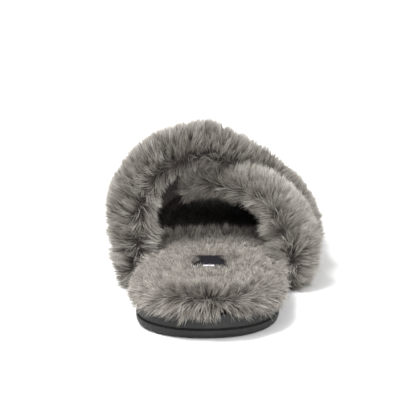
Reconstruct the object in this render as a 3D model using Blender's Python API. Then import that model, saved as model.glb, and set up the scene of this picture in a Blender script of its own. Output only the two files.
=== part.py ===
"""Right-foot scuff slipper: two crossed faux-fur bands over a fur-covered footbed, on a moulded rubber outsole.

Sizes are in millimetres and become metres when a mesh is made. +Y runs from heel to toe, +X to the outer side of
the foot and +Z up. The origin is on the floor, under the middle of the heel's tread.
"""

import math
from collections import namedtuple

import bpy
import numpy as np

MM = 0.001

# Driving sizes of the whole slipper, a women's medium (EU 38 to 39)
SOLE_LENGTH = 258.0
ORIGIN_FROM_HEEL = 46.0
GAP = 0.3

# Outline of the sole from above: distance from the heel's back edge, middle and half width there
OutlineRow = namedtuple("OutlineRow", "y centre_x half_width")
OUTLINE = (
    OutlineRow(0, -2.2, 35.5),
    OutlineRow(40, -0.6, 35.5),
    OutlineRow(75, 1.8, 36.5),
    OutlineRow(105, 3.5, 38.5),
    OutlineRow(135, 4.0, 42.5),
    OutlineRow(160, 3.0, 46.5),
    OutlineRow(185, 0.3, 48.0),
    OutlineRow(210, -2.0, 48.0),
    OutlineRow(235, -5.0, 47.0),
    OutlineRow(258, -8.0, 46.0),
)
HEEL_ROUND_LENGTH = 36.0
TOE_ROUND_LENGTH = 63.0
ROUND_POWER = 2.2
STATIONS = 49

# Outsole: side profile from the tread up. inset is how far the wall stands inside the outline
ProfileRow = namedtuple("ProfileRow", "inset z")
OUTSOLE_THICKNESS = 12.0
OUTSOLE_SIDE = (
    ProfileRow(2.2, 0.0),
    ProfileRow(0.6, 0.9),
    ProfileRow(0.0, 2.4),
    ProfileRow(0.0, 4.3),
    ProfileRow(1.1, 4.8),
    ProfileRow(0.5, 5.6),
    ProfileRow(0.9, OUTSOLE_THICKNESS),
)
TOE_SPRING = 7.0
TOE_SPRING_FROM = 200.0
WAIST_RISE = 2.2
WAIST_FROM, WAIST_TO = 92.0, 138.0
GROOVE_WIDTH, GROOVE_DEPTH = 2.6, 1.5
HEEL_GROOVES_Y = (20.0, 30.0, 40.0, 52.0, 62.0, 72.0)
FOREFOOT_GROOVES_Y = (150.0, 160.0, 170.0, 180.0, 190.0, 200.0, 210.0, 220.0)

# Footbed: its section where the fur rim shows, and where the bands come down beside it.
# out is measured outwards from the sole's outline, and lock is how far a lock's tip stands off there
FootbedRow = namedtuple("FootbedRow", "bare_out bare_z rim_out rim_z lock")
FOOTBED = (
    FootbedRow(-7.0, 12.3, -3.0, 12.3, 0.0),
    FootbedRow(-6.3, 12.6, 0.9, 12.5, 0.0),
    FootbedRow(-6.3, 14.0, 2.2, 10.4, 1.3),
    FootbedRow(-6.3, 16.0, 2.9, 14.6, 1.3),
    FootbedRow(-6.4, 18.5, 1.6, 19.6, 1.2),
    FootbedRow(-6.8, 20.8, -2.0, 23.8, 1.0),
    FootbedRow(-12.0, 22.6, -9.0, 26.2, 0.6),
    FootbedRow(-22.0, 23.4, -19.0, 25.6, 0.0),
)
HANG_ENDS, RIM_BARE_FROM, RIM_BARE_TO = 46.0, 58.0, 70.0
RIM_SHOWS_FROM, RIM_SHOWS_TO, HANG_FULL = 220.0, 234.0, 246.0

# Woven label, sewn down in a patch of shorn pile
LABEL_X, LABEL_Y = 0.0, 52.0
LABEL_WIDTH, LABEL_LENGTH, LABEL_THICKNESS = 18.0, 22.0, 0.7
LABEL_Z = 23.6
LABEL_PATCH_MARGIN = 1.6

# Inside of the upper's wall, section by section. The bulges are measured outwards from the sole's outline, and a
# power over 2 makes that side of the arch squarer than an ellipse
UpperRow = namedtuple("UpperRow", "y inner_bulge outer_bulge ridge_x ridge_z inner_power outer_power")
UPPER_SECTIONS = (
    UpperRow(60, 1.5, 1.5, -8.0, 52.5, 2.2, 2.2),
    UpperRow(110, -0.5, 0.0, -8.0, 51.5, 2.2, 2.1),
    UpperRow(150, -4.0, -4.4, -8.5, 45.0, 2.1, 1.5),
    UpperRow(185, -4.6, -4.7, -9.5, 40.0, 2.0, 1.5),
    UpperRow(230, -4.8, -4.8, -7.0, 34.0, 2.0, 1.5),
)
FOOT_INSET = 4.9
FOOT_Z = 4.5
BULGE_Z = 20.0

# The two bands, each with one end at the heel side and the other at the toe side of the shoe
BAND_HALF_WIDTH = 38.0
BAND_BACK_END_Y, BAND_FRONT_END_Y = 125.0, 170.0
OUTER_FUR = 13.0
FRONT_ROLL_SHARE = 0.3
EDGE_ROLL = 11.0
LOCK_HEIGHT = 2.2
LOCK_SWEEP = 2.4
BAND_RINGS = 46
FLOOR_CLEARANCE = 2.6

# How far a band's back edge rolls inwards, by height: beside the footbed it stops just short of it
RollRow = namedtuple("RollRow", "z inner_side outer_side")
EDGE_ROLLS_IN = (
    RollRow(0.0, 0.0, 0.0),
    RollRow(10.0, 0.0, 0.0),
    RollRow(17.0, 2.7, 2.7),
    RollRow(26.0, 3.2, 3.2),
    RollRow(32.0, 9.0, 5.5),
    RollRow(40.0, 9.5, 3.0),
    RollRow(46.0, 9.5, 2.5),
    RollRow(54.0, 8.0, 3.0),
)
ROLL_LOST_IN_LIFT = 0.8

# How far the band that lies on top stands off the other: share of the way over the foot, height
LiftRow = namedtuple("LiftRow", "across height")
TOP_BAND_LIFT = (
    LiftRow(0.0, 0.0),
    LiftRow(0.14, 1.0),
    LiftRow(0.26, 9.0),
    LiftRow(0.36, 14.0),
    LiftRow(0.47, 17.0),
    LiftRow(0.60, 9.0),
    LiftRow(0.72, 4.5),
    LiftRow(0.86, 1.5),
    LiftRow(1.0, 0.5),
)
LIFT_UNDERSIDE_SHARE = 0.6
LIFT_FRONT_SHARE, LIFT_FRONT_FROM, LIFT_FRONT_TO = 0.65, 120.0, 195.0


def column(rows, name):
    return np.array([getattr(row, name) for row in rows], float)


def curve_through(rows, key, name, at):
    """A smooth curve through one column of a table, read at the given places of its key column."""
    x, y = column(rows, key), column(rows, name)
    slopes = np.gradient(y, x)
    at = np.clip(at, x[0], x[-1])
    i = np.clip(np.searchsorted(x, at) - 1, 0, len(x) - 2)
    span = x[i + 1] - x[i]
    t = (at - x[i]) / span
    start = (2 * t**3 - 3 * t**2 + 1) * y[i] + (t**3 - 2 * t**2 + t) * span * slopes[i]
    end = (3 * t**2 - 2 * t**3) * y[i + 1] + (t**3 - t**2) * span * slopes[i + 1]
    return start + end


def ease(value, start, stop):
    """0 up to start, 1 from stop on, and smooth between."""
    t = np.clip((value - start) / (stop - start), 0.0, 1.0)
    return t * t * (3 - 2 * t)


def end_rounding(y):
    """Share of the half width that is left near the round heel and toe."""
    heel = 1 - np.clip(y / HEEL_ROUND_LENGTH, 0, 1)
    toe = 1 - np.clip((SOLE_LENGTH - y) / TOE_ROUND_LENGTH, 0, 1)
    round_end = np.maximum(heel, toe)
    return (1 - round_end**ROUND_POWER) ** (1 / ROUND_POWER)


def sole_edges(y):
    """x of the sole's inner and outer edge at y."""
    centre = curve_through(OUTLINE, "y", "centre_x", y)
    half = curve_through(OUTLINE, "y", "half_width", y) * end_rounding(y)
    return centre - half, centre + half


def plan_ring():
    """Points round the sole seen from above and their directions away from its middle line, inner side first."""
    turn = np.linspace(0, math.pi, STATIONS)
    y = SOLE_LENGTH / 2 * (1 - np.cos(turn))
    inner, outer = sole_edges(y)
    up = np.stack([inner, y], 1)
    down = np.stack([outer, y], 1)[-2:0:-1]
    points = np.concatenate([up, down])
    middle_y = np.clip(points[:, 1], HEEL_ROUND_LENGTH, SOLE_LENGTH - TOE_ROUND_LENGTH * 0.7)
    middle = np.column_stack([curve_through(OUTLINE, "y", "centre_x", middle_y), middle_y])
    out = points - middle
    return points, out / np.linalg.norm(out, axis=1, keepdims=True)


def toe_lift(y):
    """Height that toe spring adds to the sole at y."""
    past = np.clip((y - TOE_SPRING_FROM) / (SOLE_LENGTH - TOE_SPRING_FROM), 0, 1.1)
    return TOE_SPRING * past**2


def waist_lift(y):
    """Height of the tread's arch between the heel and the forefoot."""
    middle = (WAIST_FROM + WAIST_TO) / 2
    return WAIST_RISE * ease(y, WAIST_FROM, middle) * (1 - ease(y, middle, WAIST_TO))


def make_object(name, points_mm, faces, colour, roughness):
    """An object from points in millimetres, with its own plain material."""
    mesh = bpy.data.meshes.new(name)
    shifted = (np.asarray(points_mm, float) - (0, ORIGIN_FROM_HEEL, 0)) * MM
    mesh.from_pydata(shifted.tolist(), [], faces)
    mesh.update()
    material = bpy.data.materials.new(name)
    material.use_nodes = True
    surface = material.node_tree.nodes["Principled BSDF"]
    surface.inputs["Base Color"].default_value = (*colour, 1)
    surface.inputs["Roughness"].default_value = roughness
    surface.inputs["Metallic"].default_value = 0.0
    mesh.materials.append(material)
    made = bpy.data.objects.new(name, mesh)
    bpy.context.scene.collection.objects.link(made)
    return made


def as_helper(made):
    made.hide_render = True
    made.display_type = "WIRE"
    return made


def combine(target, helper, operation):
    modifier = target.modifiers.new(f"{operation.lower()} {helper.name}", "BOOLEAN")
    modifier.operation = operation
    modifier.solver = "EXACT"
    modifier.object = helper


def sole_loft(name, rings, colour, roughness):
    """A closed solid from rings of points round the sole, lowest first, capped by strips from side to side."""
    count = len(rings[0])
    points = np.concatenate(rings)
    faces = []
    for level in range(len(rings) - 1):
        base = level * count
        for i in range(count):
            j = (i + 1) % count
            faces.append((base + j, base + i, base + count + i, base + count + j))
    for base, upward in ((0, False), ((len(rings) - 1) * count, True)):
        for i in range(STATIONS - 1):
            strip = [base + i, base + i + 1, base + (count - i - 1) % count, base + (count - i) % count]
            strip = list(dict.fromkeys(strip))
            faces.append(tuple(strip[::-1] if upward else strip))
    return make_object(name, points, faces, colour, roughness)


def ring_at(out, z):
    """The plan outline moved outwards by out and raised to z, each a number or a value per point."""
    points, outward = plan_ring()
    moved = points + outward * np.reshape(out, (-1, 1))
    return np.column_stack([moved, np.broadcast_to(z, len(moved))])


def outsole():
    """Moulded rubber unit sole, with a groove round its side, toe spring, a low waist and cross grooves below."""
    rings = []
    for row in OUTSOLE_SIDE:
        ring = ring_at(-row.inset, row.z)
        y = ring[:, 1]
        share_of_waist = max(0.0, 1 - row.z / OUTSOLE_SIDE[3].z)
        ring[:, 2] += toe_lift(y) + waist_lift(y) * share_of_waist
        rings.append(ring)
    sole = sole_loft("outsole", rings, (0.034, 0.036, 0.035), 0.6)
    reach = max(row.half_width for row in OUTLINE) + 10
    for y in HEEL_GROOVES_Y + FOREFOOT_GROOVES_Y:
        bpy.ops.mesh.primitive_cube_add(size=1)
        cutter = as_helper(bpy.context.object)
        cutter.name = f"tread_cutter_{y:.0f}"
        top = float(toe_lift(np.array(y))) + GROOVE_DEPTH
        bottom = -5.0
        cutter.dimensions = np.array([2 * reach, GROOVE_WIDTH, top - bottom]) * MM
        cutter.location = np.array([0, y - ORIGIN_FROM_HEEL, (top + bottom) / 2]) * MM
        combine(sole, cutter, "DIFFERENCE")
    return sole


def footbed_rings():
    """Rings of the footbed from its underside up. Locks of fur alternate round the rim, row by row."""
    points, _ = plan_ring()
    y = points[:, 1]
    shows = 1 - ease(y, RIM_BARE_FROM, RIM_BARE_TO) + ease(y, RIM_SHOWS_FROM, RIM_SHOWS_TO)
    hangs = 1 - ease(y, HANG_ENDS, RIM_BARE_FROM) + ease(y, RIM_SHOWS_TO, HANG_FULL)
    index = np.arange(len(points))
    chance = np.random.default_rng(5)
    rings = []
    for level, row in enumerate(FOOTBED):
        out = row.bare_out + (row.rim_out - row.bare_out) * shows
        share = hangs if row.rim_z < row.bare_z else shows
        z = row.bare_z + (row.rim_z - row.bare_z) * share + toe_lift(y)
        tip = np.where((index + level) % 2 == 0, 1.0, -0.6)
        tip = tip * chance.uniform(0.7, 1.3, len(index)) * row.lock * share
        hanging = 1.0 if level <= 3 else 0.35
        rings.append(ring_at(out + tip, z - tip * hanging))
    return rings


def footbed():
    """Foam footbed covered in faux fur, whose rim of locks hangs over the outsole at heel and toe."""
    bed = sole_loft("footbed", footbed_rings(), (0.30, 0.28, 0.26), 0.9)
    bpy.ops.mesh.primitive_cube_add(size=1)
    patch = as_helper(bpy.context.object)
    patch.name = "label_patch_cutter"
    margin = 2 * LABEL_PATCH_MARGIN
    patch.dimensions = np.array([LABEL_WIDTH + margin, LABEL_LENGTH + margin, 12.0]) * MM
    patch.location = np.array([LABEL_X, LABEL_Y - ORIGIN_FROM_HEEL, LABEL_Z - GAP + 6.0]) * MM
    combine(bed, patch, "DIFFERENCE")
    return bed


def label():
    """Small woven label, plain, with round corners."""
    corner, arc_steps = 2.0, 4
    half = np.array([LABEL_WIDTH / 2 - corner, LABEL_LENGTH / 2 - corner])
    outline = []
    for quarter, (sx, sy) in enumerate(((1, 1), (-1, 1), (-1, -1), (1, -1))):
        for step in range(arc_steps + 1):
            a = math.radians(90 * quarter + 90 * step / arc_steps)
            outline.append(
                (sx * half[0] + corner * math.cos(a), sy * half[1] + corner * math.sin(a))
            )
    outline = np.array(outline) + (LABEL_X, LABEL_Y)
    count = len(outline)
    levels = [np.column_stack([outline, np.full(count, LABEL_Z + h)]) for h in (0, LABEL_THICKNESS)]
    faces = [(i, (i + 1) % count, count + (i + 1) % count, count + i) for i in range(count)]
    faces.append(tuple(range(count))[::-1])
    faces.append(tuple(range(count, 2 * count)))
    return make_object("label", np.concatenate(levels), faces, (0.02, 0.02, 0.05), 0.6)


def arch(y, steps=24):
    """Inside of the upper's wall at y: points of its arch in x and z, from the inner foot over the ridge."""
    edge_in, edge_out = sole_edges(y)
    ridge_x = curve_through(UPPER_SECTIONS, "y", "ridge_x", y)
    ridge_z = curve_through(UPPER_SECTIONS, "y", "ridge_z", y)
    rise = np.linspace(0, 1, steps // 2)
    quarter = np.linspace(0, math.pi / 2, steps)
    sides = []
    for edge, side, name in ((edge_in, -1, "inner"), (edge_out, 1, "outer")):
        bulge_x = edge + side * curve_through(UPPER_SECTIONS, "y", name + "_bulge", y)
        power = curve_through(UPPER_SECTIONS, "y", name + "_power", y)
        foot_x = edge - side * FOOT_INSET
        low_x = bulge_x + (foot_x - bulge_x) * (1 - rise) ** 2
        low_z = FOOT_Z + (BULGE_Z - FOOT_Z) * rise
        high_x = ridge_x + (bulge_x - ridge_x) * np.cos(quarter) ** (2 / power)
        high_z = BULGE_Z + (ridge_z - BULGE_Z) * np.sin(quarter) ** (2 / power)
        x = np.concatenate([low_x, high_x[1:]])
        z = np.concatenate([low_z, high_z[1:]])
        sides.append(np.column_stack([x, z]))
    return np.concatenate([sides[0], sides[1][-2::-1]])


def on_arch(y, across):
    """The point at a share of the way over the arch at y, and the arch's outward direction there."""
    line = arch(y)
    run = np.concatenate([[0], np.cumsum(np.linalg.norm(np.diff(line, axis=0), axis=1))])
    place = across * run[-1]
    here = np.array([np.interp(place, run, line[:, k]) for k in (0, 1)])
    step = 2.5
    before = np.array([np.interp(place - step, run, line[:, k]) for k in (0, 1)])
    after = np.array([np.interp(place + step, run, line[:, k]) for k in (0, 1)])
    along = after - before
    out = np.array([-along[1], along[0]]) / np.linalg.norm(along)
    return here, out


def band_section():
    """Outline across a band, as rows of: distance across, share of outer fur, share of inner roll, share of lock."""
    rows = []
    for s in np.linspace(-1, 1, 10):
        rows.append((s * BAND_HALF_WIDTH, 1.0, 0.0, 1.0))
    for a in (60, 30, 0, -30, -60):
        rise = math.sin(math.radians(a))
        reach = BAND_HALF_WIDTH + EDGE_ROLL * math.cos(math.radians(a))
        inner = FRONT_ROLL_SHARE * max(0.3 - rise, 0.0) / 1.3
        rows.append((reach, max(0.3 + 0.7 * rise, 0.0), inner, 0.7 if a > -45 else 0.0))
    for s in np.linspace(1, -1, 6):
        rows.append((s * BAND_HALF_WIDTH, 0.0, s**4 * (FRONT_ROLL_SHARE if s > 0 else 1), 0.0))
    for a in (-60, -30, 0, 30, 60):
        rise = math.sin(math.radians(a))
        reach = BAND_HALF_WIDTH + EDGE_ROLL * math.cos(math.radians(a))
        rows.append((-reach, max(0.3 + 0.7 * rise, 0.0), max(0.3 - rise, 0.0) / 1.3, 0.7 if a > -45 else 0.0))
    return rows


def fur_band(name, back_end_y, front_end_y, lift_rows, seed):
    """One padded fur band over the foot, from its inner end to its outer end, as a closed slab with locks."""
    section = band_section()
    chance = np.random.default_rng(seed)
    points = []
    for ring in range(BAND_RINGS):
        across = ring / (BAND_RINGS - 1)
        centre_y = back_end_y + (front_end_y - back_end_y) * across
        lift = curve_through(lift_rows, "across", "height", across) if lift_rows else 0.0
        roll_left = 1 - ROLL_LOST_IN_LIFT * lift / max(row.height for row in TOP_BAND_LIFT)
        for place, (reach, outer, inner, lock) in enumerate(section):
            y = centre_y + reach
            here, out = on_arch(y, across)
            is_tip = (ring + place) % 2 == 0
            tip = (1.0 if is_tip else -0.5) * lock * chance.uniform(0.6, 1.3)
            inner_side, outer_side = (
                np.interp(here[1], column(EDGE_ROLLS_IN, "z"), column(EDGE_ROLLS_IN, name))
                for name in ("inner_side", "outer_side")
            )
            roll = (inner_side + (outer_side - inner_side) * ease(across, 0.35, 0.55)) * roll_left
            settled = 1 - (1 - LIFT_FRONT_SHARE) * ease(y, LIFT_FRONT_FROM, LIFT_FRONT_TO)
            top, bottom = lift * settled + OUTER_FUR, lift * settled * LIFT_UNDERSIDE_SHARE
            height = bottom + outer * (top - bottom) - inner * roll + tip * LOCK_HEIGHT
            sweep_y = tip * LOCK_SWEEP * (0.5 if abs(reach) <= BAND_HALF_WIDTH else np.sign(reach))
            x, z = here + out * height
            points.append((x, y + sweep_y, z))
    count = len(section)
    faces = []
    for ring in range(BAND_RINGS - 1):
        for place in range(count):
            a, b = ring * count + place, ring * count + (place + 1) % count
            faces.append((b, a, a + count, b + count))
    faces.append(tuple(range(count)))
    faces.append(tuple(range((BAND_RINGS - 1) * count, BAND_RINGS * count))[::-1])
    return make_object(name, points, faces, (0.27, 0.25, 0.235), 0.9)


def sole_clearance():
    """Cutter a little larger than the outsole, so that the bands' ends stand on it."""
    rings = []
    for z in (-20.0, OUTSOLE_THICKNESS + GAP):
        ring = ring_at(GAP + 0.1, z)
        ring[:, 2] += toe_lift(ring[:, 1])
        rings.append(ring)
    return as_helper(sole_loft("sole_clearance_cutter", rings, (0.5, 0.5, 0.5), 0.5))


def floor_clearance():
    """Cutter that keeps the fur at the bands' ends just off the floor."""
    bpy.ops.mesh.primitive_cube_add(size=1)
    cutter = as_helper(bpy.context.object)
    cutter.name = "floor_clearance_cutter"
    depth = 40.0
    cutter.dimensions = np.array([250.0, 400.0, depth]) * MM
    cutter.location = np.array([0, SOLE_LENGTH / 2 - ORIGIN_FROM_HEEL, FLOOR_CLEARANCE - depth / 2]) * MM
    return cutter


def upper():
    """Both bands as one hollow upper, joined where they cross, and seated on the outsole's edge."""
    top_band = fur_band("upper", BAND_BACK_END_Y, BAND_FRONT_END_Y, TOP_BAND_LIFT, 11)
    under_band = as_helper(
        fur_band("under_band", BAND_FRONT_END_Y, BAND_BACK_END_Y, None, 12)
    )
    combine(top_band, under_band, "UNION")
    combine(top_band, sole_clearance(), "DIFFERENCE")
    combine(top_band, floor_clearance(), "DIFFERENCE")
    return top_band


def main():
    for old in list(bpy.data.objects):
        bpy.data.objects.remove(old)
    outsole()
    footbed()
    label()
    upper()


main()
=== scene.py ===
"""Looks of a right-foot scuff slipper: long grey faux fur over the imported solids, from behind the heel."""

import math
from collections import namedtuple
from functools import partial

import bpy
import numpy as np
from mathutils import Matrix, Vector, kdtree


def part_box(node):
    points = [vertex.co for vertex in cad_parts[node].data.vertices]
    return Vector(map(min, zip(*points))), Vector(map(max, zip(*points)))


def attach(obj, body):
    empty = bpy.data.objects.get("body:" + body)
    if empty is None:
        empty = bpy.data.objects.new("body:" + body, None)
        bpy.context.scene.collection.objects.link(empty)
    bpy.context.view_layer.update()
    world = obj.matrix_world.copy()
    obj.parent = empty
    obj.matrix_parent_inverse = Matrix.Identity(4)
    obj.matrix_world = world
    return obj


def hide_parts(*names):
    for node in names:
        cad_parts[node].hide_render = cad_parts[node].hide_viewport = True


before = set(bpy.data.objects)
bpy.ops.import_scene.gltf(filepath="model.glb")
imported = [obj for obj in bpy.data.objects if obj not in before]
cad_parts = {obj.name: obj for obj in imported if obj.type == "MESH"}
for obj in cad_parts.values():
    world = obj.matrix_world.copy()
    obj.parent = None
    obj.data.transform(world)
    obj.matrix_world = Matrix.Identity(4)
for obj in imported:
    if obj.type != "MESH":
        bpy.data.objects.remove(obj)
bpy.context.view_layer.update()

MM = 0.001

# Outsole: one moulding of soft rubber, charcoal all through, with a groove round its side. The mould was
# fine-etched, which leaves a matt grain all over it.


def linear(hex_colour, alpha=1.0):
    """An sRGB hex colour as linear red, green, blue and alpha."""
    parts = [int(hex_colour[i : i + 2], 16) / 255 for i in (1, 3, 5)]
    return tuple(c / 12.92 if c <= 0.04045 else ((c + 0.055) / 1.055) ** 2.4 for c in parts) + (alpha,)


def add_node(material, kind, links=None, values=None, stops=None, **settings):
    """Adds a shader node with its settings, its socket values, its links and, on a ramp, its colour stops."""
    node = material.node_tree.nodes.new(kind)
    if stops:
        elements = node.color_ramp.elements
        elements.remove(elements[-1])
        elements[0].position, elements[0].color = stops[0][0], linear(stops[0][1])
        for place, colour in stops[1:]:
            elements.new(place).color = linear(colour)
    for name, value in settings.items():
        setattr(node, name, value)
    for socket, value in (values or {}).items():
        node.inputs[socket].default_value = value
    for socket, source in (links or {}).items():
        material.node_tree.links.new(source, node.inputs[socket])
    return node


def new_material(name, roughness, ior, **more):
    """A node material with its one Principled shader, ready for links."""
    material = bpy.data.materials.new(name)
    material.use_nodes = True
    shader = material.node_tree.nodes["Principled BSDF"]
    shader.inputs["Roughness"].default_value = roughness
    shader.inputs["IOR"].default_value = ior
    for socket, value in more.items():
        shader.inputs[socket.replace("_", " ")].default_value = value
    return material, shader


def moulded_rubber():
    """Fine-etched rubber: matt, faintly uneven. Its grain is 0.5 mm, coarser than real, so that it shows."""
    grain_mm, bloom_mm = 0.5, 14.0
    material, shader = new_material("moulded_rubber", roughness=0.6, ior=1.52, Specular_IOR_Level=0.3)
    place = add_node(material, "ShaderNodeTexCoord").outputs["Object"]
    bloom = add_node(
        material,
        "ShaderNodeTexNoise",
        {"Vector": place},
        {"Scale": 1000 / bloom_mm, "Detail": 4.0, "Roughness": 0.6},
    )
    colour = add_node(
        material,
        "ShaderNodeValToRGB",
        {"Fac": bloom.outputs["Fac"]},
        stops=[(0.3, "#181918"), (0.55, "#1c1d1c"), (0.75, "#252625")],
    )
    grain = add_node(
        material,
        "ShaderNodeTexNoise",
        {"Vector": place},
        {"Scale": 1000 / grain_mm, "Detail": 2.0, "Roughness": 0.5},
    )
    bump = add_node(
        material,
        "ShaderNodeBump",
        {"Height": grain.outputs["Fac"]},
        {"Strength": 0.5, "Distance": 0.12 * MM},
    )
    tree = material.node_tree
    tree.links.new(colour.outputs["Color"], shader.inputs["Base Color"])
    tree.links.new(bump.outputs["Normal"], shader.inputs["Normal"])
    return material


def paint_node(node_name, material):
    """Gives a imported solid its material."""
    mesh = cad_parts[node_name].data
    mesh.materials.clear()
    mesh.materials.append(material)


paint_node("outsole", moulded_rubber())

# Footbed: foam under a cover of long-pile faux fur. The cover is knitted acrylic pile, shorter on top and
# left long round the heel and toe, where it is lasted over the edge and hangs in locks over the outsole.

HEEL_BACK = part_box("outsole")[0].y
SOLE_TOP = 12.0 * MM
HEEL_PARTING = np.array([2.0 * MM, HEEL_BACK + 2.5 * MM, 20.5 * MM])
HEEL_PARTING_HALF = 15.0 * MM
CREST, TOE_OPEN = 110.0 * MM, 205.0 * MM
STRAND_PLACES = (0.0, 0.5, 1.0)
TONE_HALF_WIDTH = 0.006
MIX_FACTOR, MIX_FIRST, MIX_SECOND, MIX_RESULT = 0, 6, 7, 2


def knitted_backing():
    """The cloth that the pile is knitted into, dark between the roots. Wales 1.2 mm apart."""
    wale_mm = 1.2
    material, shader = new_material("knitted_pile_backing", roughness=0.95, ior=1.5)
    place = add_node(material, "ShaderNodeTexCoord").outputs["Object"]
    wales = add_node(
        material,
        "ShaderNodeTexVoronoi",
        {"Vector": place},
        {"Scale": 1000 / wale_mm},
    )
    colour = add_node(
        material,
        "ShaderNodeValToRGB",
        {"Fac": wales.outputs["Distance"]},
        stops=[(0.0, "#2a2422"), (0.6, "#3c3533")],
    )
    bump = add_node(
        material,
        "ShaderNodeBump",
        {"Height": wales.outputs["Distance"]},
        {"Strength": 0.6, "Distance": 0.3 * MM},
    )
    tree = material.node_tree
    tree.links.new(colour.outputs["Color"], shader.inputs["Base Color"])
    tree.links.new(bump.outputs["Normal"], shader.inputs["Normal"])
    return material


def acrylic_pile():
    """Fine acrylic fibre: brown-grey at the roots, silver-grey at the tips, with soft low gloss. The pile's
    own map holds each fibre's tone across, with the styles' painted light and shade in it, and its
    root-to-tip place up."""
    material, shader = new_material(
        "acrylic_faux_fur",
        roughness=0.6,
        ior=1.49,
        Specular_IOR_Level=0.35,
        Sheen_Weight=0.25,
        Sheen_Roughness=0.5,
    )
    shader.inputs["Sheen Tint"].default_value = linear("#d8d2c8")
    fibre_map = add_node(material, "ShaderNodeUVMap", uv_map="OFBake")
    split = add_node(material, "ShaderNodeSeparateXYZ", {"Vector": fibre_map.outputs["UV"]})
    along = add_node(
        material,
        "ShaderNodeValToRGB",
        {"Fac": split.outputs["Y"]},
        stops=[(0.0, "#3a3130"), (0.3, "#6b6361"), (0.65, "#a29e99"), (1.0, "#d4d2cd")],
    )
    tone = add_node(
        material,
        "ShaderNodeValToRGB",
        {"Fac": split.outputs["X"]},
        stops=[(0.0, "#1a1717"), (0.25, "#8b8480"), (0.5, "#c6c3be"), (0.75, "#e8e6e1"), (1.0, "#ffffff")],
    )
    blend = add_node(material, "ShaderNodeMix", data_type="RGBA", blend_type="MULTIPLY")
    blend.inputs[MIX_FACTOR].default_value = 1.0
    tree = material.node_tree
    tree.links.new(along.outputs["Color"], blend.inputs[MIX_FIRST])
    tree.links.new(tone.outputs["Color"], blend.inputs[MIX_SECOND])
    tree.links.new(blend.outputs[MIX_RESULT], shader.inputs["Base Color"])
    return material


def unit(vectors):
    return vectors / np.maximum(np.linalg.norm(vectors, axis=-1, keepdims=True), 1e-9)


def across_surface(vectors, normals):
    """The part of each vector that lies in the surface."""
    return vectors - normals * np.sum(vectors * normals, axis=1, keepdims=True)


def between(value, start, stop):
    """0 up to start, 1 from stop on, and smooth between."""
    t = np.clip((value - start) / (stop - start), 0.0, 1.0)
    return t * t * (3 - 2 * t)


def drawn_in_skin(name, node_name, inset, voxel, passes):
    """The backing cloth under the pile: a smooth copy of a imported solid, drawn in by the pile's depth."""
    skin = bpy.data.objects.new(name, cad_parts[node_name].data.copy())
    bpy.context.scene.collection.objects.link(skin)
    remesh = skin.modifiers.new("knit", "REMESH")
    remesh.mode = "VOXEL"
    remesh.voxel_size = voxel
    smooth = skin.modifiers.new("ease", "SMOOTH")
    smooth.iterations = passes
    smooth.factor = 0.6
    draw_in = skin.modifiers.new("draw in", "DISPLACE")
    draw_in.strength = -inset
    draw_in.mid_level = 0.0
    settle = skin.modifiers.new("settle", "SMOOTH")
    settle.iterations = 4
    settle.factor = 0.5
    settled = bpy.data.meshes.new_from_object(skin.evaluated_get(bpy.context.evaluated_depsgraph_get()))
    skin.modifiers.clear()
    skin.data = settled
    settled.polygons.foreach_set("use_smooth", [True] * len(settled.polygons))
    return skin


def mesh_arrays(mesh):
    """Points, unit normals and triangles of a mesh, as arrays."""
    points = np.empty(len(mesh.vertices) * 3)
    mesh.vertices.foreach_get("co", points)
    normals = np.empty(len(mesh.vertices) * 3)
    mesh.vertex_normals.foreach_get("vector", normals)
    mesh.calc_loop_triangles()
    triangles = np.empty(len(mesh.loop_triangles) * 3, int)
    mesh.loop_triangles.foreach_get("vertices", triangles)
    return points.reshape(-1, 3), normals.reshape(-1, 3), triangles.reshape(-1, 3)


def sow(skin, places, count, density, chance):
    """Roots scattered over a skin, as thick as density says: their points, normals and pattern places."""
    points, normals, triangles = mesh_arrays(skin)
    corners = points[triangles]
    area = np.linalg.norm(np.cross(corners[:, 1] - corners[:, 0], corners[:, 2] - corners[:, 0]), axis=1)
    facing = unit(normals[triangles].mean(1))
    weight = area * density(corners.mean(1), facing, places[triangles].mean(1))
    chosen = triangles[chance.choice(len(triangles), count, p=weight / weight.sum())]
    a, b = chance.random((2, count, 1))
    past_edge = a + b > 1
    a = np.where(past_edge, 1 - a, a)
    b = np.where(past_edge, 1 - b, b)
    shares = np.stack([1 - a - b, a, b], 1)
    at_root = [(values[chosen] * shares).sum(1) for values in (points, normals, places)]
    return at_root[0], unit(at_root[1]), at_root[2]


def grow(roots, normals, comb, length, rise_angles, chance, stray):
    """Centre lines of fibres that lean from upright at one angle by the root and another by the tip."""
    count = len(roots)
    turn = chance.normal(0, stray, (count, 1))
    side = np.cross(normals, comb)
    heading = unit(comb * np.cos(turn) + side * np.sin(turn))
    start, end = (np.radians(a)[:, None] for a in rise_angles)
    line = [roots]
    for near, far in zip(STRAND_PLACES[:-1], STRAND_PLACES[1:]):
        angle = start + (end - start) * (near + far) / 2
        step = (normals * np.cos(angle) + heading * np.sin(angle)) * (far - near)
        line.append(line[-1] + step * length[:, None])
    return np.stack(line, 1)


def gather_into_locks(lines, per_lock, pull, chance):
    """Draws the tips of neighbouring fibres together, so that the pile breaks up into pointed locks."""
    count = len(lines)
    leaders = chance.choice(count, max(1, count // per_lock), replace=False)
    tree = kdtree.KDTree(len(leaders))
    for place, leader in enumerate(leaders):
        tree.insert(lines[leader, 0], place)
    tree.balance()
    nearest = np.array([tree.find(root)[1] for root in lines[:, 0]])
    followed = lines[leaders[nearest]]
    towards_tip, weakest, strongest = 1.3, 0.55, 1.0
    share = pull * np.array(STRAND_PLACES) ** towards_tip
    share = share[None, :, None] * chance.uniform(weakest, strongest, (count, 1, 1))
    return lines + (followed - lines) * share, nearest, len(leaders)


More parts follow.
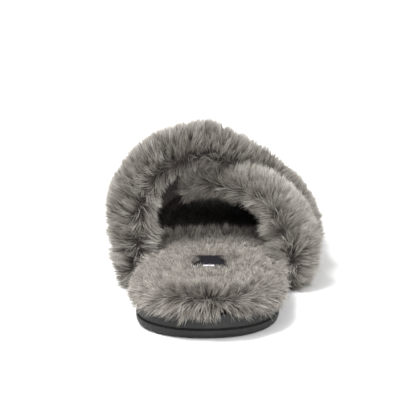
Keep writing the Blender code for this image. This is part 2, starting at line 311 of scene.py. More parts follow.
def meander(points):
    """Slow changes of direction over the fur, as handling leaves them: two sets of crossing waves."""
    wave_lengths_mm = np.array([31.0, 23.0, 17.0])
    slants = np.array([[1.0, 0.4, -0.7], [0.5, 1.0, 0.8], [-0.6, 0.9, 1.0]])
    strength, finer, finer_share, shift = 0.28, 1.7, 0.6, 1.3
    wave = 2 * math.pi / wave_lengths_mm / MM
    phase = points @ slants
    return strength * (np.sin(phase * wave) + finer_share * np.sin(phase[:, ::-1] * wave * finer + shift))


def pile(name, skin, places, count, density, style, seed, fibre_width, per_lock, pull, lowest, sway):
    """One piece of fur pile: flat fibres of a quad and a pointed tip, sown, combed and gathered."""
    shortest, longest, lean_scatter, stray, curl_share = 0.75, 1.1, 5.0, 0.2, 0.06
    swing_bend, curl_bend, floor_scatter = 1.5, 2, 1.5 * MM
    chance = np.random.default_rng(seed)
    roots, normals, at_root = sow(skin, places, count, density, chance)
    comb, length, root_lean, tip_lean, light = style(roots, normals, at_root)
    comb = unit(across_surface(comb + meander(roots), normals))
    length = length * chance.uniform(shortest, longest, count)
    lean = chance.normal(0, lean_scatter, count)
    lines = grow(roots, normals, comb, length, (root_lean + lean, tip_lean + lean * 2), chance, stray)
    lines, lock, locks = gather_into_locks(lines, per_lock, pull, chance)
    swing = unit(chance.normal(size=(locks, 3)))[lock] * (sway * length)[:, None]
    curl = chance.normal(size=(count, 3)) * (curl_share * length)[:, None]
    reach = np.array(STRAND_PLACES)[None, :, None]
    lines = lines + across_surface(swing, normals)[:, None] * reach**swing_bend
    lines = lines + curl[:, None] * reach**curl_bend
    lines[:, :, 2] = np.maximum(lines[:, :, 2], lowest + chance.uniform(0, floor_scatter, (count, 1)))

    twist, narrowest, widest, root_width, middle_width = 0.35, 0.7, 1.3, 0.8, 1.0
    along = unit(lines[:, 1] - lines[:, 0])
    flat = unit(np.cross(along, normals) + twist * chance.normal(size=(count, 3)))
    width = fibre_width * chance.uniform(narrowest, widest, (count, 1))
    rows = []
    for step, share in enumerate((root_width, middle_width)):
        rows += [lines[:, step] - flat * width * share / 2, lines[:, step] + flat * width * share / 2]
    rows.append(lines[:, 2])
    points = np.stack(rows, 1).reshape(-1, 3)

    quad_and_tip = np.array([0, 1, 3, 2, 2, 3, 4])
    face_sizes = np.array([4, 3])
    loops = (np.arange(count)[:, None] * len(rows) + quad_and_tip).ravel()
    starts = np.concatenate([[0], np.cumsum(np.tile(face_sizes, count))[:-1]])
    mesh = bpy.data.meshes.new(name)
    mesh.vertices.add(len(points))
    mesh.vertices.foreach_set("co", points.ravel())
    mesh.loops.add(len(loops))
    mesh.loops.foreach_set("vertex_index", loops)
    mesh.polygons.add(len(starts))
    mesh.polygons.foreach_set("loop_start", starts)
    mesh.update(calc_edges=True)

    middle_tone, tone_scatter, darkest, lightest = 0.6, 0.13, 0.02, 0.98
    lock_tone = chance.normal(0, tone_scatter, locks)[lock]
    # The style's light share paints light and shade into each fibre's tone.
    tone = (middle_tone + lock_tone + chance.normal(0, tone_scatter, count)) * light
    side_of_row = np.array([-1, 1, -1, 1, 0])
    height_of_row = np.array(STRAND_PLACES)[[0, 0, 1, 1, 2]]
    u = np.clip(tone, darkest, lightest)[:, None] + side_of_row * TONE_HALF_WIDTH
    uv = np.stack([u, np.broadcast_to(height_of_row, u.shape)], 2).reshape(-1, 2)
    mesh.uv_layers.new(name="OFBake").data.foreach_set("uv", uv[loops].ravel())
    mesh.polygons.foreach_set("use_smooth", [True] * len(starts))
    fur = bpy.data.objects.new(name, mesh)
    bpy.context.scene.collection.objects.link(fur)
    mesh.materials.append(faux_fur)
    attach(fur, "root")
    return fur


Lay = namedtuple("Lay", "place longer root_lean tip_lean dims", defaults=(0, 0, 0, 0))


def laid(lays, weights):
    """Adds up a table of Lay rows, each by the weight of its place: fibre length in mm, lean from upright by
    the root and by the tip in degrees, and the share of light that is left. A row's dims paints shade on the
    fibres' tone, and a negative dims paints light on it."""
    rows = [(lay, weights[lay.place]) for lay in lays]
    length = sum(lay.longer * weight for lay, weight in rows)
    root_lean = sum(lay.root_lean * weight for lay, weight in rows)
    tip_lean = sum(lay.tip_lean * weight for lay, weight in rows)
    light = math.prod(1 - lay.dims * weight for lay, weight in rows)
    return length, root_lean, tip_lean, light


faux_fur = acrylic_pile()
backing_cloth = knitted_backing()

FOOTBED_INSET = 3.6 * MM
footbed_skin = drawn_in_skin("footbed_cover", "footbed", FOOTBED_INSET, voxel=2.5 * MM, passes=10)
label_low, label_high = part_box("label")
LABEL_MIDDLE = np.array((label_low + label_high) / 2)
DIP_FLAT, DIP_RUN, UNDER_LABEL = 0.5 * MM, 5.0 * MM, 0.4 * MM
COVER_TOP_ONLY = SOLE_TOP + 4.0 * MM
for vertex in footbed_skin.data.vertices:
    over_x = max(label_low.x - vertex.co.x, vertex.co.x - label_high.x)
    over_y = max(label_low.y - vertex.co.y, vertex.co.y - label_high.y)
    under_label = 1 - between(max(over_x, over_y), DIP_FLAT, DIP_RUN)
    if vertex.co.z > COVER_TOP_ONLY:
        vertex.co.z += (label_low.z - UNDER_LABEL - vertex.co.z) * under_label
footbed_skin.data.materials.append(backing_cloth)
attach(footbed_skin, "root")
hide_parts("footbed")


NO_PILE = 1e-9


def footbed_density(heel_half, points, normals, places):
    """Pile everywhere but underneath and on the label, for the heel's half or the toe's."""
    halves_meet, hem, facing_down, facing_up = 60 * MM, 10.5 * MM, -0.6, 0.3
    shorn_before_label, shorn_round_label = 3.2 * MM, 0.1 * MM
    half = points[:, 1] < halves_meet
    wanted = half if heel_half else ~half
    covered = (normals[:, 2] > facing_down) & (points[:, 2] > hem)
    outside_x = np.maximum(label_low.x - points[:, 0], points[:, 0] - label_high.x)
    near_y = label_low.y - shorn_before_label - points[:, 1]
    far_y = points[:, 1] - label_high.y
    on_label = np.maximum(outside_x, np.maximum(near_y, far_y)) < shorn_round_label
    return wanted * covered * ~(on_label & (normals[:, 2] > facing_up)) + NO_PILE


FOOTBED_LAYS = (
    Lay("on_top", longer=6.8, root_lean=56, tip_lean=82),
    Lay("side", longer=3.4, root_lean=2, tip_lean=2),
    # Painted shade darkens the shorn dip round the label.
    Lay("by_label", root_lean=6, dims=0.4),
    Lay("crest", root_lean=-38, tip_lean=-34),
    Lay("beside_bands", longer=3.0, root_lean=-45, tip_lean=-55),
    # Painted shade darkens the fur along the heel's parting.
    Lay("at_parting", root_lean=-60, tip_lean=-20, dims=0.2),
    # Painted shade darkens the flattened fur under the bands.
    Lay("pressed_and_shaded", dims=0.8),
)
CREST_LONGER, PRESSED_SHORTER, LABEL_SHORTER, BESIDE_LABEL_KEPT = 2.0 * MM, 0.55, 0.66, 0.5
TOP_PAINTED_LIGHT, SIDE_PAINTED_LIGHTER, NEAR_HEEL_PAINTED_SHADE = 0.67, 0.17, 0.08
COMB_DOWN_SIDE = np.array([0, 0, -0.7])
COMB_FORWARD = np.array([0, 0.7, 0])
COMB_OUTWARD = np.array([0.7, 0, 0])
OUTWARD_BY = 30.0 * MM
PARTING_WAVE_HEIGHT, PARTING_WAVE_RUN, PARTING_WIDTH = 2.5 * MM, 5.0 * MM, 5.0 * MM
CREST_WIDTH = 5.0 * MM
LEVEL_NORMAL = (0.35, 0.9)
LABEL_PARTING, BESIDE_LABEL_WEDGE = (8.0 * MM, 17.0 * MM), 0.75
HEEL_TOP_ENDS = (60.0 * MM, 90.0 * MM)
AHEAD_SHARE = 0.5
Span = namedtuple("Span", "starts full fades gone")
BEHIND_BANDS = Span(52, 66, 95, 110)
AHEAD_OF_BANDS = Span(200, 214, 226, 238)
PRESSED_AND_SHADED_SPAN = Span(CREST / MM, CREST / MM + 9, TOE_OPEN / MM - 20, TOE_OPEN / MM)


def within(value, span):
    """1 inside a span given in millimetres and 0 outside it, smooth at both ends."""
    at_end = between(value, span.fades * MM, span.gone * MM)
    return between(value, span.starts * MM, span.full * MM) * (1 - at_end)


def footbed_style(points, normals, places):
    """Fur parts along the heel's back edge: forward and nearly flat on top, down in long locks below. Feet
    have flattened it under the bands, up to a crest of tufts, and painted shade darkens it there."""
    from_heel = points[:, 1] - HEEL_BACK
    level = between(normals[:, 2], *LEVEL_NORMAL)
    side = 1 - level
    from_parting = points - HEEL_PARTING
    from_parting[:, 0] -= np.clip(from_parting[:, 0], -HEEL_PARTING_HALF, HEEL_PARTING_HALF)
    from_parting[:, 2] += PARTING_WAVE_HEIGHT * np.sin(points[:, 0] / PARTING_WAVE_RUN)
    comb = unit(from_parting) + np.clip(points[:, 0:1] / OUTWARD_BY, -1, 1) * COMB_OUTWARD
    comb = comb + side[:, None] * COMB_DOWN_SIDE + level[:, None] * COMB_FORWARD

    from_label = points - LABEL_MIDDLE
    by_label = 1 - between(np.linalg.norm(from_label[:, :2], axis=1), *LABEL_PARTING)
    beside_label = by_label * (np.abs(from_label[:, 0]) > BESIDE_LABEL_WEDGE * np.abs(from_label[:, 1]))
    parted = unit(from_label) * (1 - 2 * beside_label)[:, None]
    comb = comb * (1 - by_label)[:, None] + parted * by_label[:, None]

    beside_bands = within(from_heel, BEHIND_BANDS) + AHEAD_SHARE * within(from_heel, AHEAD_OF_BANDS)
    crest = level * np.exp(-(((from_heel - CREST) / CREST_WIDTH) ** 2))
    pressed_and_shaded = level * within(from_heel, PRESSED_AND_SHADED_SPAN)
    weights = {
        "on_top": 1.0,
        "side": side,
        "by_label": by_label,
        "crest": crest,
        "beside_bands": side * beside_bands,
        "at_parting": np.exp(-((np.linalg.norm(from_parting, axis=1) / PARTING_WIDTH) ** 2)),
        "pressed_and_shaded": pressed_and_shaded,
    }
    length, root_lean, tip_lean, light = laid(FOOTBED_LAYS, weights)
    shorn = LABEL_SHORTER * by_label - BESIDE_LABEL_KEPT * beside_label
    length = length * (1 - shorn) * (1 - PRESSED_SHORTER * pressed_and_shaded) * MM + CREST_LONGER * crest
    # Painted light: the footbed's pile is painted darker than the bands', lighter on its hanging sides and
    # darker again on top near the heel.
    near_heel = level * (1 - between(from_heel, *HEEL_TOP_ENDS))
    light = light * (TOP_PAINTED_LIGHT + SIDE_PAINTED_LIGHTER * side - NEAR_HEEL_PAINTED_SHADE * near_heel)
    return comb, length, root_lean, tip_lean, light


for half_name, heel_half, fibres, seed in (("heel", True, 64000, 21), ("toe", False, 52000, 22)):
    fur = pile(
        "footbed_pile_" + half_name,
        footbed_skin.data,
        np.zeros((len(footbed_skin.data.vertices), 1)),
        fibres,
        partial(footbed_density, heel_half),
        footbed_style,
        seed,
        fibre_width=0.32 * MM,
        per_lock=30,
        pull=0.5,
        lowest=7.0 * MM,
        sway=0.12,
    )

# Label: a small woven ribbon sewn down in a shorn patch of the heel's fur. Taffeta-woven polyester in navy,
# plain, with one small pale bar woven in by its heel end.


def woven_taffeta():
    """Plain taffeta with a soft satin gloss. Threads 0.5 mm apart, coarser than real, so that they show."""
    thread_mm, bar_from, bar_to, bar_half, bar_aside = 0.5, 2.2 * MM, 4.8 * MM, 2.8 * MM, 0.5 * MM
    waves_per_scale = 20
    wave_scale = 1000 / thread_mm / waves_per_scale
    material, shader = new_material("woven_taffeta_ribbon", roughness=0.6, ior=1.45, Specular_IOR_Level=0.3)
    place = add_node(material, "ShaderNodeTexCoord").outputs["Object"]
    warp = add_node(
        material,
        "ShaderNodeTexWave",
        {"Vector": place},
        {"Scale": wave_scale, "Distortion": 0.0},
        bands_direction="X",
    )
    weft = add_node(
        material,
        "ShaderNodeTexWave",
        {"Vector": place},
        {"Scale": wave_scale, "Distortion": 0.0},
        bands_direction="Y",
    )
    weave = add_node(
        material,
        "ShaderNodeMath",
        {0: warp.outputs["Fac"], 1: weft.outputs["Fac"]},
        operation="MULTIPLY",
    )
    split = add_node(material, "ShaderNodeSeparateXYZ", {"Vector": place}).outputs
    past_start = add_node(
        material,
        "ShaderNodeMath",
        {0: split["Y"]},
        {1: label_low.y + bar_from},
        operation="GREATER_THAN",
    )
    before_end = add_node(
        material,
        "ShaderNodeMath",
        {0: split["Y"]},
        {1: label_low.y + bar_to},
        operation="LESS_THAN",
    )
    along_bar = add_node(
        material,
        "ShaderNodeMath",
        {0: past_start.outputs[0], 1: before_end.outputs[0]},
        operation="MULTIPLY",
    )
    across_bar = add_node(
        material,
        "ShaderNodeMath",
        {0: split["X"]},
        {1: LABEL_MIDDLE[0] - bar_aside, 2: bar_half},
        operation="COMPARE",
    )
    bar = add_node(
        material,
        "ShaderNodeMath",
        {0: along_bar.outputs[0], 1: across_bar.outputs[0]},
        operation="MULTIPLY",
    )
    ground = add_node(
        material,
        "ShaderNodeValToRGB",
        {"Fac": weave.outputs[0]},
        stops=[(0.0, "#08070b"), (1.0, "#15121c")],
    )
    pale = add_node(
        material,
        "ShaderNodeValToRGB",
        {"Fac": weave.outputs[0]},
        stops=[(0.0, "#a7a4ad"), (1.0, "#efecf2")],
    )
    blend = add_node(material, "ShaderNodeMix", data_type="RGBA")
    bump = add_node(
        material,
        "ShaderNodeBump",
        {"Height": weave.outputs[0]},
        {"Strength": 0.6, "Distance": 0.12 * MM},
    )
    tree = material.node_tree
    tree.links.new(bar.outputs[0], blend.inputs[MIX_FACTOR])
    tree.links.new(ground.outputs["Color"], blend.inputs[MIX_FIRST])
    tree.links.new(pale.outputs["Color"], blend.inputs[MIX_SECOND])
    tree.links.new(blend.outputs[MIX_RESULT], shader.inputs["Base Color"])
    tree.links.new(bump.outputs["Normal"], shader.inputs["Normal"])
    return material


paint_node("label", woven_taffeta())

# Upper: two wide bands of the same faux fur, each folded over foam at its edges. They cross over the instep,
# the one from the inner side of the heel on top, and their ends are lasted down against the outsole's edge.

# Lengths in these tables are in millimetres, and y is from the heel's back edge.
SoleRow = namedtuple("SoleRow", "y centre_x half_width")
SOLE_OUTLINE = (
    SoleRow(40, -0.6, 35.5),
    SoleRow(75, 1.8, 36.5),
    SoleRow(105, 3.5, 38.5),
    SoleRow(135, 4.0, 42.5),
    SoleRow(160, 3.0, 46.5),
    SoleRow(185, 0.3, 48.0),
    SoleRow(210, -2.0, 48.0),
    SoleRow(235, -5.0, 47.0),
)
SOLE_LENGTH, TOE_ROUND_LENGTH, TOE_POWER = 258.0, 63.0, 2.2
ArchRow = namedtuple("ArchRow", "y inner_bulge outer_bulge ridge_x ridge_z inner_power outer_power")
ARCHES = (
    ArchRow(60, 1.5, 1.5, -8.0, 52.5, 2.2, 2.2),
    ArchRow(110, -0.5, 0.0, -8.0, 51.5, 2.2, 2.1),
    ArchRow(150, -4.0, -4.4, -8.5, 45.0, 2.1, 1.5),
    ArchRow(185, -4.6, -4.7, -9.5, 40.0, 2.0, 1.5),
    ArchRow(230, -4.8, -4.8, -7.0, 34.0, 2.0, 1.5),
)
FOOT_INSET, FOOT_Z, BULGE_Z = 4.9, 4.5, 20.0
LiftRow = namedtuple("LiftRow", "across height")
TOP_BAND_LIFT = (
    LiftRow(0.0, 0.0),
    LiftRow(0.14, 1.0),
    LiftRow(0.26, 9.0),
    LiftRow(0.36, 14.0),
    LiftRow(0.47, 17.0),
    LiftRow(0.60, 9.0),
    LiftRow(0.72, 4.5),
    LiftRow(0.86, 1.5),
    LiftRow(1.0, 0.5),
)
RollRow = namedtuple("RollRow", "z inner_side outer_side")
EDGE_ROLLS_IN = (
    RollRow(10.0, 0.0, 0.0),
    RollRow(17.0, 2.7, 2.7),
    RollRow(26.0, 3.2, 3.2),
    RollRow(32.0, 9.0, 5.5),
    RollRow(40.0, 9.5, 3.0),
    RollRow(46.0, 9.5, 2.5),
    RollRow(54.0, 8.0, 3.0),
)
BAND_BACK_END, BAND_FRONT_END, BAND_HALF_WIDTH = 125.0, 170.0, 38.0
BACKING_TOP, BACKING_UNDERSIDE, BACKING_EDGE = 9.0, 2.5, 6.5
OVERHANG = 0.75
BAND_RINGS = 80


def read(rows, key, name, at):
    """One column of a table, read at a place of its key column."""
    return np.interp(at, [getattr(row, key) for row in rows], [getattr(row, name) for row in rows])


def sole_sides(y):
    """x of the sole's inner and outer side, in millimetres, at a distance from the heel's back edge."""
    toe = max(0.0, 1 - (SOLE_LENGTH - y) / TOE_ROUND_LENGTH)
    half = read(SOLE_OUTLINE, "y", "half_width", y) * (1 - toe**TOE_POWER) ** (1 / TOE_POWER)
    centre = read(SOLE_OUTLINE, "y", "centre_x", y)
    return centre - half, centre + half


def foot_arch(y, steps=24):
    """Inside of the upper at y: points in x and z from inner foot to outer, and the run up to each."""
    ridge_x, ridge_z = (read(ARCHES, "y", name, y) for name in ("ridge_x", "ridge_z"))
    rise = np.linspace(0, 1, steps // 2)
    quarter = np.linspace(0, math.pi / 2, steps)
    halves = []
    for edge, side, name in zip(sole_sides(y), (-1, 1), ("inner", "outer")):
        bulge_x = edge + side * read(ARCHES, "y", name + "_bulge", y)
        power = read(ARCHES, "y", name + "_power", y)
        foot_x = edge - side * FOOT_INSET
        x = [bulge_x + (foot_x - bulge_x) * (1 - rise) ** 2]
        x.append((ridge_x + (bulge_x - ridge_x) * np.cos(quarter) ** (2 / power))[1:])
        z = [FOOT_Z + (BULGE_Z - FOOT_Z) * rise]
        z.append((BULGE_Z + (ridge_z - BULGE_Z) * np.sin(quarter) ** (2 / power))[1:])
        halves.append(np.column_stack([np.concatenate(x), np.concatenate(z)]))
    line = np.concatenate([halves[0], halves[1][-2::-1]])
    run = np.concatenate([[0], np.cumsum(np.linalg.norm(np.diff(line, axis=0), axis=1))])
    return line, run


def over_foot(y, across, step=2.5):
    """The inside of the upper at a share of the way over the foot, and the way out of it there."""
    line, run = foot_arch(y)
    at = across * run[-1] + np.array([0, -step, step])
    here, before, after = np.column_stack([np.interp(at, run, line[:, k]) for k in (0, 1)])
    along = after - before
    return here, np.array([-along[1], along[0]]) / np.linalg.norm(along)


def band_section():
    """Round a band: distance forward of its middle, and rise from 1 on its outside to -1 on its inside."""
    turns, flat_points = (72, 48, 24, 0, -24, -48, -72), 15
    rolled = [(BACKING_EDGE * math.cos(math.radians(a)), math.sin(math.radians(a))) for a in turns]
    rows = [(reach, 1.0) for reach in np.linspace(-BAND_HALF_WIDTH, BAND_HALF_WIDTH, flat_points)]
    rows += [(BAND_HALF_WIDTH + out, rise) for out, rise in rolled]
    rows += [(reach, -1.0) for reach in np.linspace(BAND_HALF_WIDTH, -BAND_HALF_WIDTH, flat_points)]
    rows += [(-BAND_HALF_WIDTH - out, rise) for out, rise in rolled[::-1]]
    return rows


PARTING_RISE, LINING_RISE = -0.1, -0.99
SETTLES_BY, SETTLES_ALONG = 0.35, (120, 195)
ROLL_STARTS_RISE, ROLL_SIDES, FRONT_ROLL, EDGE_POWER = 0.3, (0.38, 0.52), 0.3, 4
ROLL_LOST_IN_LIFT, CLEAR_OF_SOLE, LOWEST = 0.045, 1.0, 3.2


def band_point(y, across, reach, rise, lift):
    """A point of a band's backing in x and z, in millimetres. Its back edge rolls inwards under itself."""
    here, out = over_foot(y, across)
    settled = 1 - SETTLES_BY * between(y, *SETTLES_ALONG)
    top = lift * settled + BACKING_TOP
    bottom = lift * settled * OVERHANG + BACKING_UNDERSIDE
    thickness = (top - bottom) * max(ROLL_STARTS_RISE + (1 - ROLL_STARTS_RISE) * rise, 0.0)

    edge = (abs(reach) / BAND_HALF_WIDTH) ** EDGE_POWER * (1.0 if reach < 0 else FRONT_ROLL)
    edge = edge * max(ROLL_STARTS_RISE - rise, 0.0) / (1 + ROLL_STARTS_RISE)
    rolls = [read(EDGE_ROLLS_IN, "z", name, here[1]) for name in ("inner_side", "outer_side")]
    roll = np.interp(across, ROLL_SIDES, rolls) * (1 - ROLL_LOST_IN_LIFT * lift) * min(edge, 1.0)
    x, z = here + out * (bottom + thickness - roll)
    side = 1 if across > 0.5 else -1
    if z < SOLE_TOP / MM + CLEAR_OF_SOLE:
        x = side * max(side * x, side * sole_sides(y)[across > 0.5] + CLEAR_OF_SOLE)
    return x, max(z, LOWEST)


def band_backing(inner_end, outer_end, is_top):
    """Points of one band's backing, ring by ring, with its faces and each point's place: share of the way
    over the foot, distance forward, rise, and the way that fur runs from the parting on its back edge."""
    section = band_section()
    count = len(section)
    grid = np.empty((BAND_RINGS, count, 3))
    places = np.zeros((BAND_RINGS, count, 6))
    for ring, across in enumerate(np.linspace(0, 1, BAND_RINGS)):
        lift = read(TOP_BAND_LIFT, "across", "height", across) if is_top else 0.0
        for place, (reach, rise) in enumerate(section):
            y = inner_end + (outer_end - inner_end) * across + reach
            x, z = band_point(y, across, reach, rise, lift)
            grid[ring, place] = x, y, z
            places[ring, place, :3] = across, reach, rise
    grid = (grid + (0, HEEL_BACK / MM, 0)) * MM
    around = np.roll(grid, -1, axis=1) - np.roll(grid, 1, axis=1)
    reach, rise = places[:, :, 1], places[:, :, 2]
    from_parting = np.where((rise < LINING_RISE) | ((reach < 0) & (rise < PARTING_RISE)), -1.0, 1.0)
    places[:, :, 3:] = unit(around) * from_parting[:, :, None]
    faces = []
    for ring in range(BAND_RINGS - 1):
        for place in range(count):
            here, onward = ring * count + place, ring * count + (place + 1) % count
            faces.append((onward, here, here + count, onward + count))
    faces.append(tuple(range(count)))
    faces.append(tuple(range((BAND_RINGS - 1) * count, BAND_RINGS * count))[::-1])
    return grid.reshape(-1, 3), faces, places.reshape(-1, 6)


def backing_mesh(name, points, faces):
    mesh = bpy.data.meshes.new(name)
    mesh.from_pydata(points.tolist(), [], faces)
    mesh.polygons.foreach_set("use_smooth", [True] * len(faces))
    mesh.materials.append(backing_cloth)
    return mesh


top_points, band_faces, top_places = band_backing(BAND_BACK_END, BAND_FRONT_END, is_top=True)
under_points, _, under_places = band_backing(BAND_FRONT_END, BAND_BACK_END, is_top=False)
shifted_faces = [tuple(corner + len(top_points) for corner in face) for face in band_faces]
both_bands = np.concatenate([top_points, under_points])
backing_data = backing_mesh("upper_backing", both_bands, band_faces + shifted_faces)
upper_backing = bpy.data.objects.new("upper_backing", backing_data)
bpy.context.scene.collection.objects.link(upper_backing)
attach(upper_backing, "root")
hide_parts("upper")


def on_other_band(points, places, is_top):
    """How far a point lies forward of the middle of the band that crosses its own, in millimetres."""
    ends = (BAND_FRONT_END, BAND_BACK_END) if is_top else (BAND_BACK_END, BAND_FRONT_END)
    return (points[:, 1] - HEEL_BACK) / MM - (ends[0] + (ends[1] - ends[0]) * places[:, 0])


def band_density(is_top, wants_lining, points, normals, places):
    """Pile on the outside or the lining of a band, where the other band doesn't hide it."""
    lining_rise, shows_past_edge, sole_height, back_of_sole = -0.75, 2, 20 * MM, -30
    thicker_by_edge, edge_from, edge_full = 0.7, 25, 40
    reach, rise = places.T[1:3]
    lining = rise < lining_rise
    from_other = np.abs(on_other_band(points, places, is_top))
    hidden = (from_other < BAND_HALF_WIDTH - shows_past_edge) & (lining if is_top else ~lining)
    against_sole = lining & (points[:, 2] < sole_height) & (reach > back_of_sole)
    by_edge = 1 + thicker_by_edge * between(-reach, edge_from, edge_full)
    return (lining == wants_lining) * ~hidden * ~against_sole * by_edge + NO_PILE


BAND_LAYS = (
    Lay("everywhere", longer=8.4, root_lean=34, tip_lean=66),
    Lay("back_edge", longer=2.3),
    Lay("inner", longer=-1.2, tip_lean=10),
    Lay("inner_face", root_lean=10),
    Lay("outer_edge", root_lean=-12, tip_lean=-12),
    Lay("beside_footbed", longer=2.5, tip_lean=-34),
    # Painted shade darkens the under band's fur in the crease beside the top band; there it is also shorter.
    Lay("crease", longer=-4.5, root_lean=12, tip_lean=8, dims=0.75),
    # A painted sheen lightens the smooth, flat-combed fur on the under band's top.
    Lay("smooth", root_lean=22, tip_lean=14, dims=-0.12),
    # Painted shade darkens the top band's lining where it overhangs the under band; there it is also shorter.
    Lay("overhung", longer=-3.0, dims=0.5),
    # Painted shade darkens the lining far inside the upper, less near its front edge.
    Lay("deep_shade", dims=0.85),
    Lay("shaded", dims=0.75),
    # Painted shade darkens the under band's lining under the arch.
    Lay("under_arch_shade", dims=0.8),
)
COMB_UP_AT_EDGE = np.array([0.0, 0.0, 0.35])
COMB_IN_FROM_OUTER_SIDE = np.array([-0.9, 0.0, -0.1])
COMB_DOWN_ON_INNER_SIDE = np.array([0.1, 0.0, -0.5])
LINING_AWAY, LIT_AT_FRONT = 0.8, 0.7
OUTER_FROM_RISE, UNDER_ARCH_TO_RISE = (-0.5, 0.3), (-0.75, 0.1)
BACK_EDGE_REACH, FRONT_EDGE_REACH, BESIDE_FOOTBED_REACH = (26, 40), (20, 38), (20, 36)
DEEP_REACH_OUTER_SIDE, DEEP_REACH_INNER_SIDE = (-34, -8), (-42, -26)
BESIDE_FOOTBED_TO_Z = (26.0 * MM, 40.0 * MM)
CREASE_WIDTH, CREASE_FROM_BEHIND, CREASE_TO_AHEAD = (2, 8), (0.2, 0.34), (0.45, 0.55)
OUTER_SIDE_FROM, OVERHUNG_FROM = (0.3, 0.6), (0.3, 0.42)
SMOOTH_FROM, SMOOTH_TO, SHADED_TO, UNDER_ARCH_TO = (0.3, 0.45), (0.75, 0.9), (0.28, 0.46), (0.62, 0.78)


def band_style(is_top, points, normals, places):
    """Fur parts along a band's back edge: up and outwards over the band, inwards and down under it. Painted
    shade darkens it in the crease beside the other band, under the top band's overhang, far inside, under the
    arch and on the under band towards the inner side; a painted sheen lightens the smooth fur on the under
    band's top."""
    across, reach, rise = places.T[:3]
    away = places[:, 3:]
    outer = between(rise, *OUTER_FROM_RISE)
    inner = 1 - outer
    back_edge = between(-reach, *BACK_EDGE_REACH)
    outer_side = between(across, *OUTER_SIDE_FROM)
    outside = away + COMB_UP_AT_EDGE * back_edge[:, None]
    inside = LINING_AWAY * away + outer_side[:, None] * COMB_IN_FROM_OUTER_SIDE
    inside = inside + (1 - outer_side)[:, None] * COMB_DOWN_ON_INNER_SIDE
    comb = outside * outer[:, None] + inside * inner[:, None]

    is_under = not is_top
    from_other = on_other_band(points, places, is_top)
    beside = 1 - between(np.abs(np.abs(from_other) - BAND_HALF_WIDTH - BACKING_EDGE), *CREASE_WIDTH)
    behind_other = between(across, *CREASE_FROM_BEHIND)
    stands_off = np.where(from_other < 0, behind_other, 1 - between(across, *CREASE_TO_AHEAD))
    smooth = between(across, *SMOOTH_FROM) * (1 - between(across, *SMOOTH_TO))
    low = 1 - between(points[:, 2], *BESIDE_FOOTBED_TO_Z)
    deep_shade = between(reach, *DEEP_REACH_OUTER_SIDE) * outer_side
    deep_shade = deep_shade + between(reach, *DEEP_REACH_INNER_SIDE) * (1 - outer_side)
    underside = 1 - between(rise, *UNDER_ARCH_TO_RISE)
    weights = {
        "everywhere": 1.0,
        "back_edge": back_edge,
        "inner": inner,
        "inner_face": inner * (1 - back_edge),
        "outer_edge": outer * back_edge,
        "beside_footbed": inner * low * between(-reach, *BESIDE_FOOTBED_REACH),
        "crease": is_under * outer * beside * stands_off,
        "smooth": is_under * outer * smooth,
        "overhung": is_top * inner * between(across, *OVERHUNG_FROM),
        "deep_shade": inner * deep_shade * (1 - LIT_AT_FRONT * between(reach, *FRONT_EDGE_REACH)),
        "shaded": is_under * np.maximum(inner, back_edge) * (1 - between(across, *SHADED_TO)),
        "under_arch_shade": is_under * underside * (1 - between(across, *UNDER_ARCH_TO)),
    }
    length, root_lean, tip_lean, light = laid(BAND_LAYS, weights)
    return comb, length * MM, root_lean, tip_lean, light


for piece_name, is_top, wants_lining, fibres, seed, sway in (
    ("top_band_pile", True, False, 65000, 31, 0.12),
    ("under_band_pile", False, False, 60000, 32, 0.12),
    ("top_band_lining_pile", True, True, 24000, 33, 0.1),
    ("under_band_lining_pile", False, True, 34000, 34, 0.1),
):
    points, places = (top_points, top_places) if is_top else (under_points, under_places)
    fur = pile(
        piece_name,
        backing_mesh(piece_name + "_ground", points, band_faces),
        places,
        fibres,
        partial(band_density, is_top, wants_lining),
        partial(band_style, is_top),
        seed,
        fibre_width=0.32 * MM,
        per_lock=26,
        pull=0.5,
        lowest=0.4 * MM,
        sway=sway,
    )

# Floor, light and camera: a white painted floor, a broad soft light over the slipper's inner side, a weaker
# one behind the heel, a pale sky that is darker ahead of the toe, and a long lens behind the heel.


def painted_floor():
    """Matt white painted board: flat and even, so that only the slipper's shadow shows on it."""
    material, shader = new_material("matt_white_paint", roughness=0.9, ior=1.45)
    place = add_node(material, "ShaderNodeTexCoord").outputs["Object"]
    mottle = add_node(material, "ShaderNodeTexNoise", {"Vector": place}, {"Scale": 6.0, "Detail": 2.0})
    colour = add_node(
        material,
        "ShaderNodeValToRGB",
        {"Fac": mottle.outputs["Fac"]},
        stops=[(0.3, "#f6f6f6"), (0.7, "#f9f9f9")],
    )
    material.node_tree.links.new(colour.outputs["Color"], shader.inputs["Base Color"])
    return material


FLOOR_HALF = 4.0
floor_mesh = bpy.data.meshes.new("floor")
floor_corners = [(x * FLOOR_HALF, y * FLOOR_HALF, 0.0) for x, y in ((-1, -1), (1, -1), (1, 1), (-1, 1))]
floor_mesh.from_pydata(floor_corners, [], [(0, 1, 2, 3)])
floor_mesh.materials.append(painted_floor())
floor = bpy.data.objects.new("floor", floor_mesh)
bpy.context.scene.collection.objects.link(floor)

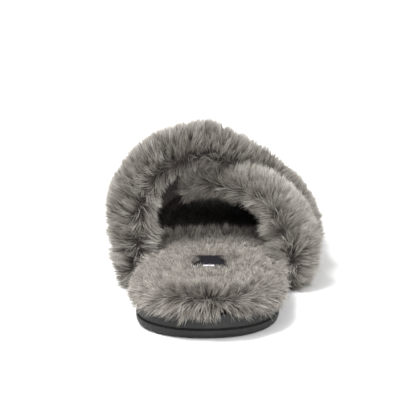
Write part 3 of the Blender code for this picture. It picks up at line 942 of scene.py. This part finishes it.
world = bpy.data.worlds.new("white_studio")
world.use_nodes = True
sky_way = add_node(world, "ShaderNodeTexCoord").outputs["Generated"]
sky_forward = add_node(world, "ShaderNodeSeparateXYZ", {"Vector": sky_way}).outputs["Y"]
sky_shade = add_node(
    world,
    "ShaderNodeValToRGB",
    {"Fac": sky_forward},
    stops=[(0.0, "#ffffff"), (0.3, "#ffffff"), (0.8, "#c4c4c4")],
)
world.node_tree.links.new(sky_shade.outputs["Color"], world.node_tree.nodes["Background"].inputs["Color"])
world.node_tree.nodes["Background"].inputs["Strength"].default_value = 0.86
bpy.context.scene.world = world


def soft_box(name, place, aim, size, power):
    """A square soft light at place, turned to aim."""
    light = bpy.data.lights.new(name, "AREA")
    light.size = size
    light.energy = power
    box = bpy.data.objects.new(name, light)
    box.location = place
    box.rotation_euler = (Vector(aim) - Vector(place)).to_track_quat("-Z", "Y").to_euler()
    bpy.context.scene.collection.objects.link(box)


SLIPPER_MIDDLE = (0.0, 0.06, 0.04)
soft_box("key", (-0.5, -0.1, 1.2), SLIPPER_MIDDLE, size=0.6, power=26.0)
soft_box("fill", (0.6, -1.4, 0.6), SLIPPER_MIDDLE, size=0.9, power=14.0)

CAMERA_RANGE, CAMERA_ELEVATION = 1.0, math.radians(17.5)
FOCAL_PIXELS, FRAME_PIXELS, SENSOR_MM = 2000.0, 416.0, 36.0
LOOKED_AT = Vector((-0.7, -6.0, 55.0)) * MM
STOOD_ON = Vector((0.0, -6.0, 0.0)) * MM

camera_data = bpy.data.cameras.new("camera")
camera_data.sensor_width = SENSOR_MM
camera_data.lens = FOCAL_PIXELS / FRAME_PIXELS * SENSOR_MM
camera = bpy.data.objects.new("camera", camera_data)
camera_way = Vector((0, -math.cos(CAMERA_ELEVATION), math.sin(CAMERA_ELEVATION)))
camera.location = STOOD_ON + CAMERA_RANGE * camera_way
camera.rotation_euler = (LOOKED_AT - camera.location).to_track_quat("-Z", "Y").to_euler()
bpy.context.scene.collection.objects.link(camera)
bpy.context.scene.camera = camera
bpy.context.scene.view_settings.view_transform = "Standard"
